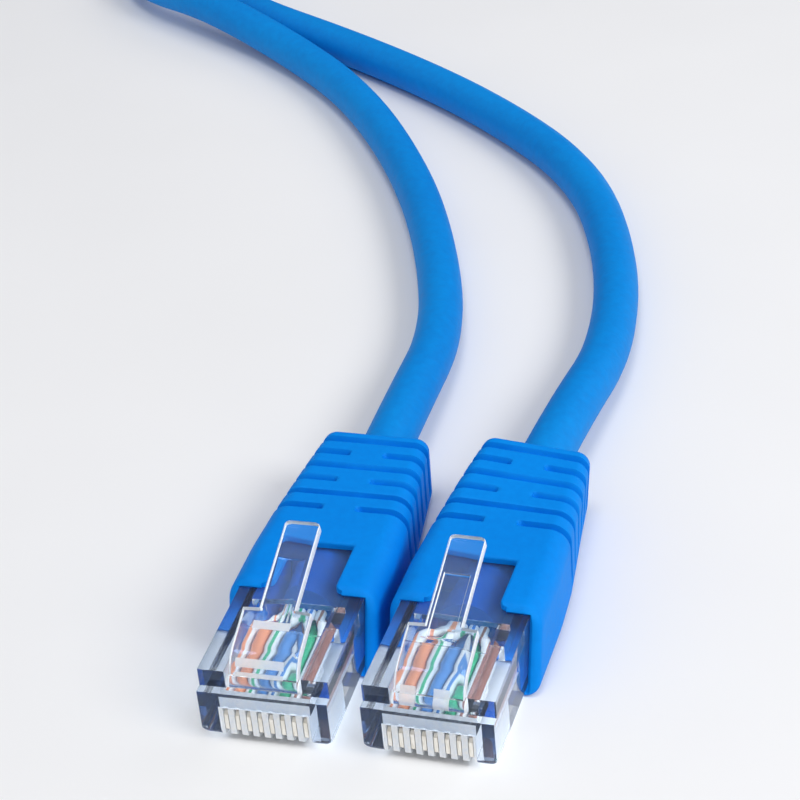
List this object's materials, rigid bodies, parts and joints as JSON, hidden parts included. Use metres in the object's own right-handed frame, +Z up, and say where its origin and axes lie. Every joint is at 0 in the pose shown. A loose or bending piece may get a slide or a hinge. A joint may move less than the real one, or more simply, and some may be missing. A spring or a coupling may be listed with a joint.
{
  "type": "ethernet patch cable",
  "caption": "Ethernet patch cable: clear modular plugs with sprung latches and moulded strain relief boots on both ends of a round cord, its spare length tied in a neat coil.",
  "frame": {"origin": "bottom centre of the two booted plugs, without the cord", "axes": "+Z up from the surface the boots lie on; -Y is the way the plug noses point; +X to the right seen from behind the plugs"},
  "size_m": [0.1141, 0.2631, 0.013],
  "materials": {
    "clear_plastic": "glossy clear polycarbonate",
    "boot": "matte moulded vinyl",
    "jacket": "matte extruded vinyl",
    "contact_gold": "gold plated, polished",
    "copper": "bare stranded copper",
    "tie": "woven hook-and-loop strap",
    "wire_white_orange": "satin insulation",
    "wire_orange": "satin insulation",
    "wire_white_green": "satin insulation",
    "wire_blue": "satin insulation",
    "wire_white_blue": "satin insulation",
    "wire_green": "satin insulation",
    "wire_white_brown": "satin insulation",
    "wire_brown": "satin insulation"
  },
  "bodies": {
    "cable": {"housing_a": "clear_plastic", "strain_bar_a": "clear_plastic", "jacket_end_a": "jacket", "boot_a": "boot", "contact_a1": "contact_gold", "wire_a1": "wire_white_orange", "contact_a2": "contact_gold", "wire_a2": "wire_orange", "contact_a3": "contact_gold", "wire_a3": "wire_white_green", "contact_a4": "contact_gold", "wire_a4": "wire_blue", "contact_a5": "contact_gold", "wire_a5": "wire_white_blue", "contact_a6": "contact_gold", "wire_a6": "wire_green", "contact_a7": "contact_gold", "wire_a7": "wire_white_brown", "contact_a8": "contact_gold", "wire_a8": "wire_brown", "cores_a": "copper", "housing_b": "clear_plastic", "strain_bar_b": "clear_plastic", "jacket_end_b": "jacket", "boot_b": "boot", "contact_b1": "contact_gold", "wire_b1": "wire_white_orange", "contact_b2": "contact_gold", "wire_b2": "wire_orange", "contact_b3": "contact_gold", "wire_b3": "wire_white_green", "contact_b4": "contact_gold", "wire_b4": "wire_blue", "contact_b5": "contact_gold", "wire_b5": "wire_white_blue", "contact_b6": "contact_gold", "wire_b6": "wire_green", "contact_b7": "contact_gold", "wire_b7": "wire_white_brown", "contact_b8": "contact_gold", "wire_b8": "wire_brown", "cores_b": "copper", "cord_run_a": "jacket", "cord_run_b": "jacket", "cord_coil": "jacket", "coil_tie": "tie"},
    "lever_a": {"latch_a": "clear_plastic"},
    "lever_b": {"latch_b": "clear_plastic"}
  },
  "joints": [
    {"name": "latch_a_press", "type": "hinge", "parent": "cable", "child": "lever_a", "pos_m": [-0.00692, -0.01828, 0.00605], "axis": [-0.9993, -0.0363, 0], "range_deg": [0, 14], "stiffness_Nm_per_rad": 0.12},
    {"name": "latch_b_press", "type": "hinge", "parent": "cable", "child": "lever_b", "pos_m": [0.00761, -0.01773, 0.00605], "axis": [-1, 0, 0], "range_deg": [0, 14], "stiffness_Nm_per_rad": 0.12}
  ]
}
